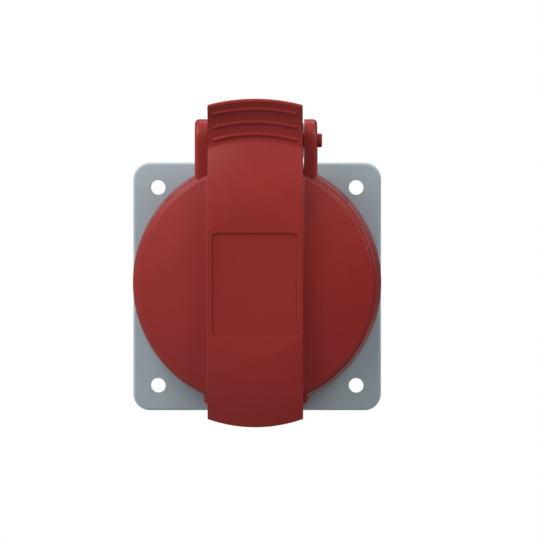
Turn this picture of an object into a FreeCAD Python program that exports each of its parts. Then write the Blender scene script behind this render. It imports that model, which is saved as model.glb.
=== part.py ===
import FreeCAD, Part
import math
import os

from FreeCAD import Vector

# Panel socket with a sprung lid, drawn face on: x to the right, y up, z out of the panel.
# The socket axis is the line x = y = 0, and z = 0 is the face of the panel.
# place() turns every finished piece to the frame: x right, z up, y into the panel.

# Flange and its fixings, in millimetres
flange_land = 4.7
flange_thickness = 4.5
flange_corner_radius = 5.0
flange_edge_fillet = 0.7
fixing_inset = 7.5
fixing_hole_radius = 2.25
axis_rise = 1.2
gasket_thickness = 1.5
gasket_inset = 1.0
gasket_hole_clearance = 0.35
spigot_wall = 1.5
shoulder_thickness = 3.0

# Front collar
collar_overhang = 0.15
collar_height = 24.0
collar_draft = 0.95
collar_wall = 2.4
collar_face_wall = 2.6
collar_edge_fillet = 1.5
plug_tube_radius = 29.0
plug_tube_wall = 2.0
plug_tube_rise = 2.0
plug_depth = 37.0
collar_rib_count = 12
collar_rib_turn = 15.0
collar_rib_thickness = 1.6
seat_clearance = 0.3

# Keyway, and the swelling of the collar that holds it
keyway_width = 9.0
keyway_depth = 4.5
keyway_length = 24.0
bump_half_width = 15.75
bump_reach = 3.75
bump_chamfer = 6.0

# Hinge
hinge_reach = 5.65
ear_radius = 6.4
ear_outer_half = 18.45
ear_setback = 0.2
ear_foot_gap = 1.0
ear_edge_fillet = 1.3
hinge_side_gap = 0.2
pin_radius = 2.1
pin_end_proud = 1.5
pin_end_fillet = 0.5
pin_seat_clearance = 0.03
pin_running_clearance = 0.08
pin_blind_wall = 1.0
knuckle_radius = 5.2
knuckle_width = 4.7

# Lid
lid_setback = 1.95
lid_gap = 0.4
lid_wall = 2.3
lid_rim_height = 5.4
lid_rim_fillet = 0.5
dome_rise = 5.8
strap_half_width = 14.35
strap_height = 14.1
strap_wall = 2.6
strap_flat_radius = 21.3
strap_root_fillet = 0.7
strap_slope_start = math.radians(-5)
strap_slope_end = math.radians(-24.5)
valley_lead = 0.3
valley_run = 1.35
tab_slope_start = math.radians(6)
tab_slope_end = math.radians(40)
tab_reach = 12.8
tab_edge_fillet = 0.6
lip_overhang = 2.1
lip_end_wall = 1.5
recess_width = 26.0
recess_height = 31.3
recess_depth = 0.4
recess_corner_radius = 1.6
rib_setbacks = (10.75, 7.1, 3.15)
rib_section_radius = 0.65
rib_proud = 0.4
rib_half_length = 12.2
lid_gasket_width = 4.0
lid_gasket_thickness = 2.0
lid_gasket_clearance = 0.05

# Spring about the hinge pin
spring_wire_radius = 0.55
spring_turns = 4
spring_pitch = 2.2
spring_pin_clearance = 0.5
spring_tab_reach = 6.7
spring_collar_reach = 9.0
spring_seat_clearance = 0.1

# Contact carrier and the holder behind it
plug_gap = 4.0
carrier_recess = 2.0
carrier_base_thickness = 5.0
carrier_rear_step = 0.5
carrier_rear_length = 6.0
carrier_front_wall = 3.5
carrier_edge_fillet = 1.0
holder_length = 19.0
holder_rear_wall = 3.0
holder_edge_fillet = 1.0

# Contacts: five round sleeves on one circle, the earth one below the axis and larger
contact_inset = 7.5
contact_step = 72.0
contact_names = ("earth", "line_1", "line_2", "line_3", "neutral")
line_pin_radius = 2.5
earth_pin_radius = 3.5
sleeve_clearance = 0.05
sleeve_wall = 0.95
sleeve_depth = 28.0
sleeve_recess = 1.0
sleeve_guide_clearance = 0.1
sleeve_slit_width = 0.6
sleeve_slit_length = 18.0
sleeve_fit_clearance = 0.08
sleeve_collar_wall = 1.7
sleeve_collar_length = 4.0
grip_ring_wall = 0.55
grip_ring_length = 4.0
grip_ring_setback = 6.0
grip_ring_slot = 2.0
terminal_radius = 4.7
terminal_length = 15.0
terminal_clearance = 0.15
wire_bore_radius = 2.1
wire_bore_depth = 15.5
wire_tail_wall = 0.8
wire_tail_recess = 0.5
wire_entry_clearance = 0.2
terminal_screw_radius = 2.0
terminal_screw_length = 5.6
terminal_screw_setback = 8.0
driver_hole_radius = 2.8
slot_width = 0.8
slot_depth = 1.0

# Screws that hold the pieces together
screw_fit_clearance = 0.03
screw_hole_clearance = 0.25
screw_count = 4
screw_turn = 45.0
collar_screw_offset = 4.0
collar_screw_radius = 1.1
collar_screw_head_radius = 2.05
collar_screw_head_height = 1.6
collar_screw_bite = 8.0
collar_boss_radius = 2.35
carrier_screw_inset = 2.4
carrier_screw_radius = 1.2
carrier_screw_head_radius = 2.4
carrier_screw_head_height = 1.8
carrier_screw_bite = 4.0
centre_screw_radius = 1.75
centre_screw_head_radius = 3.2
centre_screw_head_height = 2.4
centre_screw_bite = 9.0

# Heights above the panel that follow from the sizes
flange_back = gasket_thickness
flange_front = flange_back + flange_thickness
collar_face = flange_front + collar_height
mouth = collar_face + plug_tube_rise
plug_floor = mouth - plug_depth
hinge_height = collar_face - ear_setback - ear_radius
lid_foot = collar_face + lid_gap
lid_rim_top = lid_foot + lid_rim_height
strap_top = lid_foot + strap_height
carrier_face = mouth - carrier_recess
carrier_base_back = plug_floor - carrier_base_thickness
carrier_back = carrier_base_back - carrier_rear_length
holder_back = carrier_back - holder_length
shoulder_back = carrier_base_back - shoulder_thickness

# Radii and widths that follow from the sizes, from the tube that takes the plug outwards
plug_tube_outer = plug_tube_radius + plug_tube_wall
housing_bore = plug_tube_outer + seat_clearance
spigot_radius = housing_bore + spigot_wall
flange_side = 2 * (spigot_radius + flange_land)
fixing_spacing = flange_side - 2 * fixing_inset
collar_radius = flange_side / 2 + collar_overhang
collar_screw_circle = plug_tube_outer + collar_screw_offset
carrier_screw_circle = plug_tube_outer - carrier_screw_inset
bump_drop = collar_radius + bump_reach
bump_side_drop = bump_drop - bump_chamfer
hinge_rise = collar_radius + hinge_reach
lid_radius = collar_radius - lid_setback
valley_start = hinge_rise - valley_lead
tab_radius = hinge_rise + tab_reach
lip_radius = bump_drop + lip_overhang
rib_radii = [tab_radius - setback for setback in rib_setbacks]
carrier_radius = plug_tube_radius - plug_gap
carrier_rear_radius = carrier_radius + carrier_rear_step
contact_circle = carrier_radius - contact_inset
wire_tail_radius = wire_bore_radius + wire_tail_wall
spring_tab_radius = hinge_rise + spring_tab_reach
ear_inner_half = strap_half_width + hinge_side_gap
spring_radius = pin_radius + spring_pin_clearance + spring_wire_radius

X = Vector(1, 0, 0)
Y = Vector(0, 1, 0)
Z = Vector(0, 0, 1)
CENTRE = Vector(0, 0, 0)


def place(shape):
    """Turn a piece from the face-on drawing to the frame of the finished part."""
    placed = shape.copy()
    placed.translate(Vector(0, axis_rise, 0))
    placed.rotate(CENTRE, X, 90)
    return placed


def save(name, shape):
    """Write one piece to its file, with faces that lie on one surface joined."""
    place(shape.removeSplitter()).exportStep(f"parts/{name}.step")


def rod(radius, low, high, x=0.0, y=0.0):
    """Solid cylinder along z between two heights."""
    return Part.makeCylinder(radius, high - low, Vector(x, y, low), Z)


def tube(outer, inner, low, high, x=0.0, y=0.0):
    """Hollow cylinder along z between two heights."""
    return rod(outer, low, high, x, y).cut(rod(inner, low, high, x, y))


def box(x_low, x_high, y_low, y_high, z_low, z_high):
    """Box between six planes."""
    corner = Vector(x_low, y_low, z_low)
    return Part.makeBox(x_high - x_low, y_high - y_low, z_high - z_low, corner)


def rounded_plate(width, height, radius, low, high, y=0.0):
    """Plate with round corners along z, centred on x = 0 and the given y."""
    plate = box(-width / 2, width / 2, y - height / 2, y + height / 2, low, high)
    corners = [e for e in plate.Edges if abs(e.tangentAt(e.FirstParameter).z) > 0.9]
    return plate.makeFillet(radius, corners)


def turned(edges, angle=360.0):
    """Solid made by turning a closed outline, drawn in the x-z plane, about the socket axis."""
    face = Part.Face(Part.Wire(Part.__sortEdges__(edges)))
    return face.revolve(CENTRE, Z, angle)


def path(points):
    """Straight edges through (radius, height) points, in the x-z plane."""
    places = [Vector(radius, 0, height) for radius, height in points]
    return [Part.makeLine(a, b) for a, b in zip(places, places[1:])]


def spun(points, x=0.0, y=0.0):
    """Solid turned from a closed (radius, height) outline about an axis along z."""
    solid = turned(path(list(points) + [points[0]]))
    solid.translate(Vector(x, y, 0))
    return solid


def around(count, start=0.0):
    """Equal steps of angle around the socket axis, in degrees."""
    return [start + 360.0 / count * step for step in range(count)]


def turned_to(shape, angle):
    """Copy of a shape, turned about the socket axis."""
    copy = shape.copy()
    copy.rotate(CENTRE, Z, angle)
    return copy


def spots(radius, count=screw_count, start=screw_turn):
    """Places on a circle about the socket axis, as (x, y)."""
    angles = [math.radians(angle) for angle in around(count, start)]
    return [(radius * math.cos(angle), radius * math.sin(angle)) for angle in angles]


def edges_near(shape, test):
    """Edges whose middle point passes the test."""
    found = []
    for edge in shape.Edges:
        middle = edge.valueAt((edge.FirstParameter + edge.LastParameter) / 2)
        if test(middle):
            found.append(edge)
    return found


def radius_of(point):
    """Distance of a point from the socket axis."""
    return math.hypot(point.x, point.y)


# Flange housing: the square plate, the spigot behind it and the shoulder that the carrier rests on
def fixing_places():
    """Centres of the four fixing holes, as seen from the socket axis."""
    half = fixing_spacing / 2
    return [(x, y - axis_rise) for x in (-half, half) for y in (-half, half)]


def make_flange_housing():
    plate = rounded_plate(
        flange_side, flange_side, flange_corner_radius, flange_back, flange_front, -axis_rise)
    rim = edges_near(plate, lambda p: p.z > flange_front - 1e-6)
    plate = plate.makeFillet(flange_edge_fillet, rim)
    spigot = rod(spigot_radius, shoulder_back, flange_back)
    body = plate.fuse(spigot)
    body = body.cut(rod(housing_bore, carrier_base_back, flange_front))
    body = body.cut(rod(carrier_rear_radius + seat_clearance, shoulder_back, flange_front))
    for x, y in fixing_places():
        body = body.cut(rod(fixing_hole_radius, flange_back, flange_front, x, y))
    head_top = flange_back + collar_screw_head_height
    for x, y in spots(collar_screw_circle):
        body = body.cut(rod(collar_screw_radius + screw_hole_clearance, flange_back, flange_front, x, y))
        body = body.cut(rod(collar_screw_head_radius + screw_hole_clearance, flange_back, head_top, x, y))
    for x, y in spots(carrier_screw_circle):
        hole = carrier_screw_radius + screw_hole_clearance
        body = body.cut(rod(hole, shoulder_back, carrier_base_back, x, y))
    return body


def make_flange_gasket():
    side = flange_side - 2 * gasket_inset
    radius = flange_corner_radius - gasket_inset
    sheet = rounded_plate(side, side, radius, 0, gasket_thickness, -axis_rise)
    sheet = sheet.cut(rod(spigot_radius + seat_clearance, 0, gasket_thickness))
    for x, y in fixing_places():
        sheet = sheet.cut(rod(fixing_hole_radius + gasket_hole_clearance, 0, gasket_thickness, x, y))
    return sheet


# Front collar: the outer skirt, the tube that the plug enters, the keyway and the hinge ears
def collar_skin(outer_offset=0.0):
    """Drafted block of the skirt, or of the space inside it where the offset is a wall."""
    foot = collar_radius - outer_offset
    top = collar_radius - collar_draft - outer_offset
    high = collar_face if outer_offset == 0 else collar_face - collar_face_wall
    return spun([(0, flange_front), (foot, flange_front), (top, high), (0, high)])


def bump_block(inset=0.0):
    """Prism of the swelling below the socket, or of the space inside it."""
    half = bump_half_width - inset
    drop = bump_drop - inset
    corner = half - (drop - bump_side_drop)
    high = collar_face if inset == 0 else collar_face - collar_face_wall
    outline = [
        (-half, 0), (-half, -bump_side_drop), (-corner, -drop), (corner, -drop),
        (half, -bump_side_drop), (half, 0)]
    places = [Vector(x, y, flange_front) for x, y in outline]
    face = Part.Face(Part.makePolygon(places + [places[0]]))
    return face.extrude(Vector(0, 0, high - flange_front))


def make_ear(side):
    """One hinge ear, with the outer front edge rounded."""
    front = hinge_height + ear_radius
    foot = plug_tube_outer
    top = Vector(0, hinge_rise + ear_radius, hinge_height)
    a = Vector(0, foot, front)
    b = Vector(0, hinge_rise, front)
    d = Vector(0, foot, flange_front + ear_foot_gap)
    rise = hinge_rise - foot
    drop = hinge_height - d.z
    slope = math.atan2(drop, rise) - math.asin(ear_radius / math.hypot(drop, rise))
    c = Vector(0, hinge_rise + ear_radius * math.sin(slope), hinge_height - ear_radius * math.cos(slope))
    edges = [
        Part.makeLine(a, b), Part.Arc(b, top, c).toShape(), Part.makeLine(c, d),
        Part.makeLine(d, a)]
    face = Part.Face(Part.Wire(edges))
    ear = face.extrude(Vector(ear_outer_half - ear_inner_half, 0, 0))
    ear.translate(Vector(ear_inner_half, 0, 0))
    outer = edges_near(ear, lambda p: p.x > ear_outer_half - 1e-6 and p.y > foot + 1e-6)
    ear = ear.makeFillet(ear_edge_fillet, outer)
    return ear if side > 0 else ear.mirror(CENTRE, X)


def make_front_collar():
    skirt = collar_skin().fuse(bump_block()).removeSplitter()
    front = edges_near(
        skirt, lambda p: p.z > collar_face - 1e-6 and radius_of(p) > plug_tube_outer)
    skirt = skirt.makeFillet(collar_edge_fillet, front)
    inside = collar_skin(collar_wall).fuse(bump_block(collar_wall))
    inside = inside.cut(rod(plug_tube_outer, flange_front, mouth))
    for angle in around(collar_rib_count, collar_rib_turn):
        rib = box(
            plug_tube_outer - 1, collar_radius, -collar_rib_thickness / 2, collar_rib_thickness / 2,
            flange_front + 1, collar_face)
        inside = inside.cut(turned_to(rib, angle))
    for x, y in spots(collar_screw_circle):
        inside = inside.cut(rod(collar_boss_radius, flange_front, collar_face, x, y))
    key_half = keyway_width / 2 + collar_wall
    key_drop = plug_tube_radius + keyway_depth + collar_wall
    inside = inside.cut(box(-key_half, key_half, -key_drop, 0, flange_front, collar_face))
    body = skirt.cut(inside)
    for side in (-1, 1):
        body = body.fuse(make_ear(side))
    body = body.fuse(rod(plug_tube_outer, plug_floor, mouth))
    body = body.cut(rod(plug_tube_radius, plug_floor, mouth))
    key_low = -(plug_tube_radius + keyway_depth)
    body = body.cut(
        box(-keyway_width / 2, keyway_width / 2, key_low, 0, mouth - keyway_length, mouth))
    for x, y in spots(collar_screw_circle):
        pilot = collar_screw_radius + screw_fit_clearance
        body = body.cut(rod(pilot, flange_front, flange_front + collar_screw_bite + 0.5, x, y))
    hole = Part.makeCylinder(
        pin_radius + pin_seat_clearance, 2 * ear_outer_half - pin_blind_wall,
        Vector(-ear_outer_half + pin_blind_wall, hinge_rise, hinge_height), X)
    return body.cut(hole)


def make_hinge_pin():
    start = -ear_outer_half + pin_blind_wall
    length = ear_outer_half + pin_end_proud - start
    pin = Part.makeCylinder(pin_radius, length, Vector(start, hinge_rise, hinge_height), X)
    ends = edges_near(pin, lambda p: abs(p.x) > ear_outer_half - pin_blind_wall - 1e-6)
    rims = [e for e in ends if e.Closed and len(e.Vertexes) == 1]
    return pin.makeFillet(pin_end_fillet, rims)


# Lid: a shallow dome with a strap across it, which ends in a thumb tab above and a lip below
def bend(start, slope_from, slope_to, run, offset=0.0):
    """Arc of the strap's outline over a run of radius: start, middle and end, set back by offset."""
    radius = run / (math.sin(slope_to) - math.sin(slope_from))
    spread = [slope_from, (slope_from + slope_to) / 2, slope_to]
    points = []
    for slope in spread:
        r = start[0] + radius * (math.sin(slope) - math.sin(slope_from))
        z = start[1] + radius * (math.cos(slope_from) - math.cos(slope))
        points.append((r + offset * math.sin(slope), z - offset * math.cos(slope)))
    return points


def arc(points):
    """Arc edge through three (radius, height) points."""
    return Part.Arc(*[Vector(r, 0, z) for r, z in points]).toShape()


def strap_bends(offset=0.0):
    """The strap's three bends from the flat to the end of the tab, set back by offset."""
    fall = bend(
        (strap_flat_radius, strap_top), strap_slope_start, strap_slope_end,
        valley_start - strap_flat_radius, offset)
    fall_end = bend(
        (strap_flat_radius, strap_top), strap_slope_start, strap_slope_end,
        valley_start - strap_flat_radius)[-1]
    valley = bend(fall_end, strap_slope_end, tab_slope_start, valley_run, offset)
    valley_end = bend(fall_end, strap_slope_end, tab_slope_start, valley_run)[-1]
    tab = bend(valley_end, tab_slope_start, tab_slope_end, tab_radius - valley_end[0], offset)
    return fall, valley, tab


def half_turn(edges, upper):
    """Half-round solid of an outline, above or below the socket axis."""
    solid = turned(edges, 180.0)
    return solid if upper else turned_to(solid, 180.0)


def dome_sphere():
    """Radius of the dome's outer face."""
    return (lid_radius ** 2 + dome_rise ** 2) / (2 * dome_rise)


def dome_height(radius):
    """Height of the dome's outer face at a radius from the socket axis."""
    sphere = dome_sphere()
    return lid_rim_top + dome_rise - sphere + math.sqrt(sphere ** 2 - radius ** 2)


def dome_body(offset, edge, low):
    """Solid below the dome's outer face, set down by offset, out to the edge radius."""
    top = dome_height(0) - offset
    middle = (edge / 2, dome_height(edge / 2) - offset)
    side = (edge, dome_height(edge) - offset)
    edges = [arc([(0, top), middle, side])]
    edges += path([side, (edge, low), (0, low), (0, top)])
    return turned(edges)


def strap_block(offset, edge, low):
    """Solid below the strap's outer face, set down by offset, out to the edge radius."""
    fall = strap_bends(offset)[0]
    flat_end = (strap_flat_radius, strap_top - offset)
    edges = path([(0, strap_top - offset), flat_end])
    if offset > 0:
        edges += path([flat_end, fall[0]])
    edges += [arc(fall)]
    edges += path([fall[2], (fall[2][0], low), (0, low), (0, strap_top - offset)])
    return turned(edges).common(rod(edge, low, strap_top))


def tab_plate():
    """Upper end of the strap: a curved plate that flares out to the thumb."""
    front = strap_bends()
    back = strap_bends(strap_wall)
    edges = [arc(bend_points) for bend_points in front + back]
    edges += path([front[2][2], back[2][2]])
    edges += path([front[0][0], back[0][0]])
    plate = half_turn(edges, upper=True).common(rod(tab_radius, 0, strap_top))
    return plate.cut(rod(lid_radius - lid_wall, lid_foot, strap_top))


def lip_block():
    """Lower end of the strap, hollow behind."""
    block = strap_block(0, lip_radius, lid_foot).cut(rod(lid_radius - lid_wall, lid_foot, strap_top))
    hollow = strap_block(strap_wall, lip_radius - lip_end_wall, lid_foot)
    hollow = hollow.cut(rod(lid_radius, lid_foot, strap_top))
    inner_half = strap_half_width - lid_wall
    hollow = hollow.common(box(-inner_half, inner_half, -lip_radius, 0, lid_foot, strap_top))
    return block.cut(hollow).common(box(-lid_radius, lid_radius, -tab_radius, 0, lid_foot, strap_top))


def hinge_arm(side):
    """Arm from the strap to the pin, with its round knuckle."""
    reach = knuckle_radius
    inner = lid_radius - lid_wall
    top = strap_bends(strap_wall / 2)[1][2][1]
    a = Vector(0, inner, lid_foot)
    b = Vector(0, inner, top)
    c = Vector(0, hinge_rise + reach, top)
    d = Vector(0, hinge_rise + reach, hinge_height)
    e = Vector(0, hinge_rise, hinge_height - reach)
    f = Vector(0, hinge_rise - reach, hinge_height)
    g = Vector(0, hinge_rise - reach, lid_foot)
    edges = [
        Part.makeLine(a, b), Part.makeLine(b, c), Part.makeLine(c, d),
        Part.Arc(d, e, f).toShape(), Part.makeLine(f, g), Part.makeLine(g, a)]
    arm = Part.Face(Part.Wire(edges)).extrude(Vector(knuckle_width, 0, 0))
    start = strap_half_width - knuckle_width if side > 0 else -strap_half_width
    arm.translate(Vector(start, 0, 0))
    return arm


def tab_point(radius, offset=0.0):
    """Point (radius, height) on the tab's front face at a radius, set back by offset."""
    valley_end = strap_bends()[1][2]
    run = tab_radius - valley_end[0]
    bend_radius = run / (math.sin(tab_slope_end) - math.sin(tab_slope_start))
    slope = math.asin(math.sin(tab_slope_start) + (radius - valley_end[0]) / bend_radius)
    height = valley_end[1] + bend_radius * (math.cos(tab_slope_start) - math.cos(slope))
    return radius + offset * math.sin(slope), height - offset * math.cos(slope)


def grip_rib(radius):
    """Raised rib across the tab, concentric with the lid, with round ends."""
    r, z = tab_point(radius, rib_section_radius - rib_proud)
    spread = math.degrees(math.asin(rib_half_length / radius))
    start = Vector(r, 0, z)
    ring = Part.Face(Part.Wire(Part.makeCircle(rib_section_radius, start, Y)))
    rib = ring.revolve(CENTRE, Z, 2 * spread)
    rib = rib.fuse(Part.makeSphere(rib_section_radius, start))
    rib = rib.fuse(turned_to(Part.makeSphere(rib_section_radius, start), 2 * spread))
    return turned_to(rib, 90 - spread)


def rim_block():
    """Solid within the lid's rim, its upper corner rounded, and open above the dome."""
    corner = lid_radius - lid_rim_fillet
    start = lid_rim_top - lid_rim_fillet
    rise = dome_height(corner) - start
    bow = (lid_rim_fillet ** 2 + rise ** 2) / (2 * lid_rim_fillet)
    half_turned = math.atan2(rise, bow - lid_rim_fillet) / 2
    middle = (lid_radius - bow + bow * math.cos(half_turned), start + bow * math.sin(half_turned))
    edges = [arc([(lid_radius, start), middle, (corner, start + rise)])]
    edges += path([
        (corner, start + rise), (corner, strap_top), (0, strap_top), (0, lid_foot),
        (lid_radius, lid_foot), (lid_radius, start)])
    return turned(edges)


def strap_cove(side):
    """Cove where one wall of the strap meets the dome: a ball rolled along both."""
    sphere = dome_sphere()
    middle_height = dome_height(0) - sphere
    ball_x = strap_half_width + strap_root_fillet
    ball_z = math.sqrt((sphere + strap_root_fillet) ** 2 - ball_x ** 2)
    ball = Vector(ball_x, 0, ball_z)
    on_wall = Vector(strap_half_width, 0, ball_z)
    on_dome = ball * (sphere / (sphere + strap_root_fillet))
    inward = ((on_wall - ball) + (on_dome - ball)).normalize()
    bottom = ball + inward * strap_root_fillet
    deep = Vector(on_dome.x, 0, on_dome.z - strap_root_fillet)
    inner = Vector(strap_half_width - strap_root_fillet, 0, deep.z)
    high = Vector(inner.x, 0, ball_z)
    edges = [
        Part.Arc(on_wall, bottom, on_dome).toShape(), Part.makeLine(on_dome, deep),
        Part.makeLine(deep, inner), Part.makeLine(inner, high), Part.makeLine(high, on_wall)]
    outline = Part.Face(Part.Wire(edges))
    outline.rotate(CENTRE, X, -90)
    cove = outline.revolve(CENTRE, X, 180)
    cove.translate(Vector(0, 0, middle_height))
    return cove if side > 0 else cove.mirror(CENTRE, X)


def lid_cap():
    """Dome and strap as far as the rim, with a small cove where they meet."""
    band = box(-strap_half_width, strap_half_width, -lid_radius, lid_radius, 0, strap_top)
    dome = dome_body(0, lid_radius, lid_foot).fuse([strap_cove(-1), strap_cove(1)])
    strap = strap_block(0, lid_radius, lid_foot).common(band)
    return dome.common(rim_block()).fuse(strap)


def make_lid():
    band = box(-strap_half_width, strap_half_width, -tab_radius, tab_radius + 1, 0, strap_top)
    ends = tab_plate().fuse(lip_block()).common(band)
    body = lid_cap().fuse([ends, hinge_arm(-1), hinge_arm(1)]).removeSplitter()
    tab_end = edges_near(body, lambda p: radius_of(p) > tab_radius - 1e-3 and p.y > 0)
    body = body.makeFillet(tab_edge_fillet, tab_end)
    land = mouth + lid_gasket_clearance + lid_gasket_thickness
    gasket_inner = (plug_tube_radius + plug_tube_outer - lid_gasket_width) / 2
    body = body.cut(rod(lid_radius - lid_wall, lid_foot, land))
    hollow_edge = gasket_inner - 0.5
    body = body.cut(dome_body(lid_wall, hollow_edge, land - 1))
    inner_half = strap_half_width - lid_wall
    channel = strap_block(strap_wall, hollow_edge, land - 1)
    channel = channel.common(box(-inner_half, inner_half, -lid_radius, lid_radius, 0, strap_top))
    body = body.cut(channel)
    recess = rounded_plate(
        recess_width, recess_height, recess_corner_radius, strap_top - recess_depth, strap_top + 1)
    body = body.cut(recess)
    for radius in rib_radii:
        body = body.fuse(grip_rib(radius))
    bore = Part.makeCylinder(
        pin_radius + pin_running_clearance, 2 * strap_half_width,
        Vector(-strap_half_width, hinge_rise, hinge_height), X)
    return body.cut(bore)


def make_lid_gasket():
    middle = (plug_tube_radius + plug_tube_outer) / 2
    low = mouth + lid_gasket_clearance
    ring = tube(
        middle + lid_gasket_width / 2, middle - lid_gasket_width / 2, low, low + lid_gasket_thickness)
    return ring


# Spring: turns about the pin between the lid's arms, one leg under the tab and one on the collar
def spring_leg(target, toward_start):
    """Angle where a leg leaves the turns for its target, a (y, z) point, and the leg's length."""
    rise = target[0] - hinge_rise
    out = target[1] - hinge_height
    length = math.sqrt(rise ** 2 + out ** 2 - spring_radius ** 2)
    swing = math.atan2(length, spring_radius)
    angle = math.atan2(out, rise) + (swing if toward_start else -swing)
    return math.degrees(angle) % 360, length


def make_lid_spring():
    seat = spring_wire_radius + spring_seat_clearance
    contact_z = hinge_height - spring_collar_reach
    taper = collar_draft * (contact_z - flange_front) / collar_height
    tab_r, tab_z = tab_point(spring_tab_radius, strap_wall + seat)
    start, start_length = spring_leg((tab_r, tab_z), toward_start=True)
    end, end_length = spring_leg((collar_radius - taper + seat, contact_z), toward_start=False)
    turns = spring_turns + (end - start) / 360.0
    width = turns * spring_pitch
    helix = Part.makeHelix(spring_pitch, width, spring_radius)
    section = Part.Wire(Part.makeCircle(spring_wire_radius, Vector(spring_radius, 0, 0), Y))
    coil = Part.Wire(helix.Edges).makePipeShell([section], True, True)
    first = Part.makeCylinder(
        spring_wire_radius, start_length, Vector(spring_radius, 0, 0), Vector(0, -1, 0))
    last = Part.makeCylinder(
        spring_wire_radius, end_length, Vector(spring_radius, 0, width), Vector(0, 1, 0))
    last.rotate(CENTRE, Z, 360.0 * turns)
    spring = coil.fuse([first, last])
    spring.translate(Vector(0, 0, -width / 2))
    spring.rotate(CENTRE, Vector(1, 1, 1), 120)
    spring.rotate(CENTRE, X, start)
    spring.translate(Vector(0, hinge_rise, hinge_height))
    return spring


# Contact carrier, in front, and the terminal holder, behind
def contact_places():
    """Name, pin radius and place of each contact, the earth contact at the keyway."""
    places = []
    for step, name in enumerate(contact_names):
        angle = math.radians(270 - contact_step * step)
        radius = earth_pin_radius if name == "earth" else line_pin_radius
        places.append((name, radius, contact_circle * math.cos(angle), contact_circle * math.sin(angle)))
    return places


def sleeve_outer(pin):
    """Outer radius of a contact sleeve for a pin."""
    return pin + sleeve_clearance + sleeve_wall


def collar_outer(pin):
    """Outer radius of the collar that guides a contact in the carrier."""
    return pin + sleeve_clearance + sleeve_collar_wall


def make_contact_carrier():
    nose = rod(carrier_radius, plug_floor, carrier_face)
    front = edges_near(nose, lambda p: p.z > carrier_face - 1e-6)
    nose = nose.makeFillet(carrier_edge_fillet, front)
    body = nose.fuse([
        rod(plug_tube_outer, carrier_base_back, plug_floor),
        rod(carrier_rear_radius, carrier_back, carrier_base_back)])
    for name, pin, x, y in contact_places():
        guide = sleeve_outer(pin) + sleeve_guide_clearance
        body = body.cut(rod(guide, carrier_back, carrier_face, x, y))
        room = collar_outer(pin) + sleeve_fit_clearance
        body = body.cut(rod(room, carrier_back, carrier_face - carrier_front_wall, x, y))
    bite = carrier_back + centre_screw_bite + 0.5
    body = body.cut(rod(centre_screw_radius + screw_fit_clearance, carrier_back, bite))
    for x, y in spots(carrier_screw_circle):
        pilot = carrier_screw_radius + screw_fit_clearance
        body = body.cut(rod(pilot, carrier_base_back, carrier_base_back + carrier_screw_bite + 0.3, x, y))
    return body


def make_terminal_holder():
    body = rod(carrier_rear_radius, holder_back, carrier_back)
    rear = edges_near(body, lambda p: p.z < holder_back + 1e-6)
    body = body.makeFillet(holder_edge_fillet, rear)
    pocket = holder_back + holder_rear_wall
    for name, pin, x, y in contact_places():
        body = body.cut(rod(terminal_radius + terminal_clearance, pocket, carrier_back, x, y))
        body = body.cut(rod(wire_tail_radius + wire_entry_clearance, holder_back, pocket, x, y))
        height = carrier_back - terminal_screw_setback
        outward = Vector(x, y, 0).normalize()
        driver = Part.makeCylinder(
            driver_hole_radius, carrier_rear_radius, Vector(x, y, height), outward)
        body = body.cut(driver)
    body = body.cut(rod(centre_screw_radius + screw_hole_clearance, holder_back, carrier_back))
    head = holder_back + centre_screw_head_height
    return body.cut(rod(centre_screw_head_radius + screw_hole_clearance, holder_back, head))


def make_contact(pin, x, y):
    """Split sleeve, guide collar, terminal head and the tail that the wire enters, turned from one bar."""
    front = carrier_face - sleeve_recess
    bore_end = front - sleeve_depth
    bore = pin + sleeve_clearance
    terminal_back = carrier_back - terminal_length
    tail = holder_back + wire_tail_recess
    neck = sleeve_outer(pin)
    outline = [
        (bore, front), (neck, front), (neck, bore_end + sleeve_collar_length),
        (collar_outer(pin), bore_end + sleeve_collar_length), (collar_outer(pin), bore_end),
        (neck, bore_end), (neck, carrier_back),
        (terminal_radius, carrier_back), (terminal_radius, terminal_back),
        (wire_tail_radius, terminal_back), (wire_tail_radius, tail), (wire_bore_radius, tail),
        (wire_bore_radius, tail + wire_bore_depth), (0, tail + wire_bore_depth),
        (0, bore_end), (bore, bore_end)]
    contact = spun(outline, x, y)
    reach = collar_outer(pin) + 1
    slit = box(-reach, reach, -sleeve_slit_width / 2, sleeve_slit_width / 2,
               front - sleeve_slit_length, front)
    for turn in (45, 135):
        cut = turned_to(slit, turn)
        cut.translate(Vector(x, y, 0))
        contact = contact.cut(cut)
    height = carrier_back - terminal_screw_setback
    outward = Vector(x, y, 0).normalize()
    tapped = Part.makeCylinder(
        terminal_screw_radius + screw_fit_clearance, terminal_radius, Vector(x, y, height), outward)
    return contact.cut(tapped)


def make_grip_ring(pin, x, y):
    """Open ring of spring steel round a sleeve."""
    front = carrier_face - sleeve_recess - grip_ring_setback
    inner = sleeve_outer(pin) + screw_fit_clearance
    ring = tube(inner + grip_ring_wall, inner, front - grip_ring_length, front, x, y)
    slot = box(x - grip_ring_slot / 2, x + grip_ring_slot / 2, y, y + inner + 1,
               front - grip_ring_length, front)
    return ring.cut(slot)


def make_terminal_screw(x, y):
    """Slotted clamping screw, pointing at the axis of its terminal."""
    height = carrier_back - terminal_screw_setback
    outward = Vector(x, y, 0).normalize()
    start = Vector(x, y, height) + outward * wire_bore_radius
    screw = Part.makeCylinder(terminal_screw_radius, terminal_screw_length, start, outward)
    slot = box(
        terminal_screw_length - slot_depth, terminal_screw_length + 1, -terminal_screw_radius,
        terminal_screw_radius, -slot_width / 2, slot_width / 2)
    slot.rotate(CENTRE, Z, math.degrees(math.atan2(outward.y, outward.x)))
    slot.translate(start)
    return screw.cut(slot)


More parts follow.
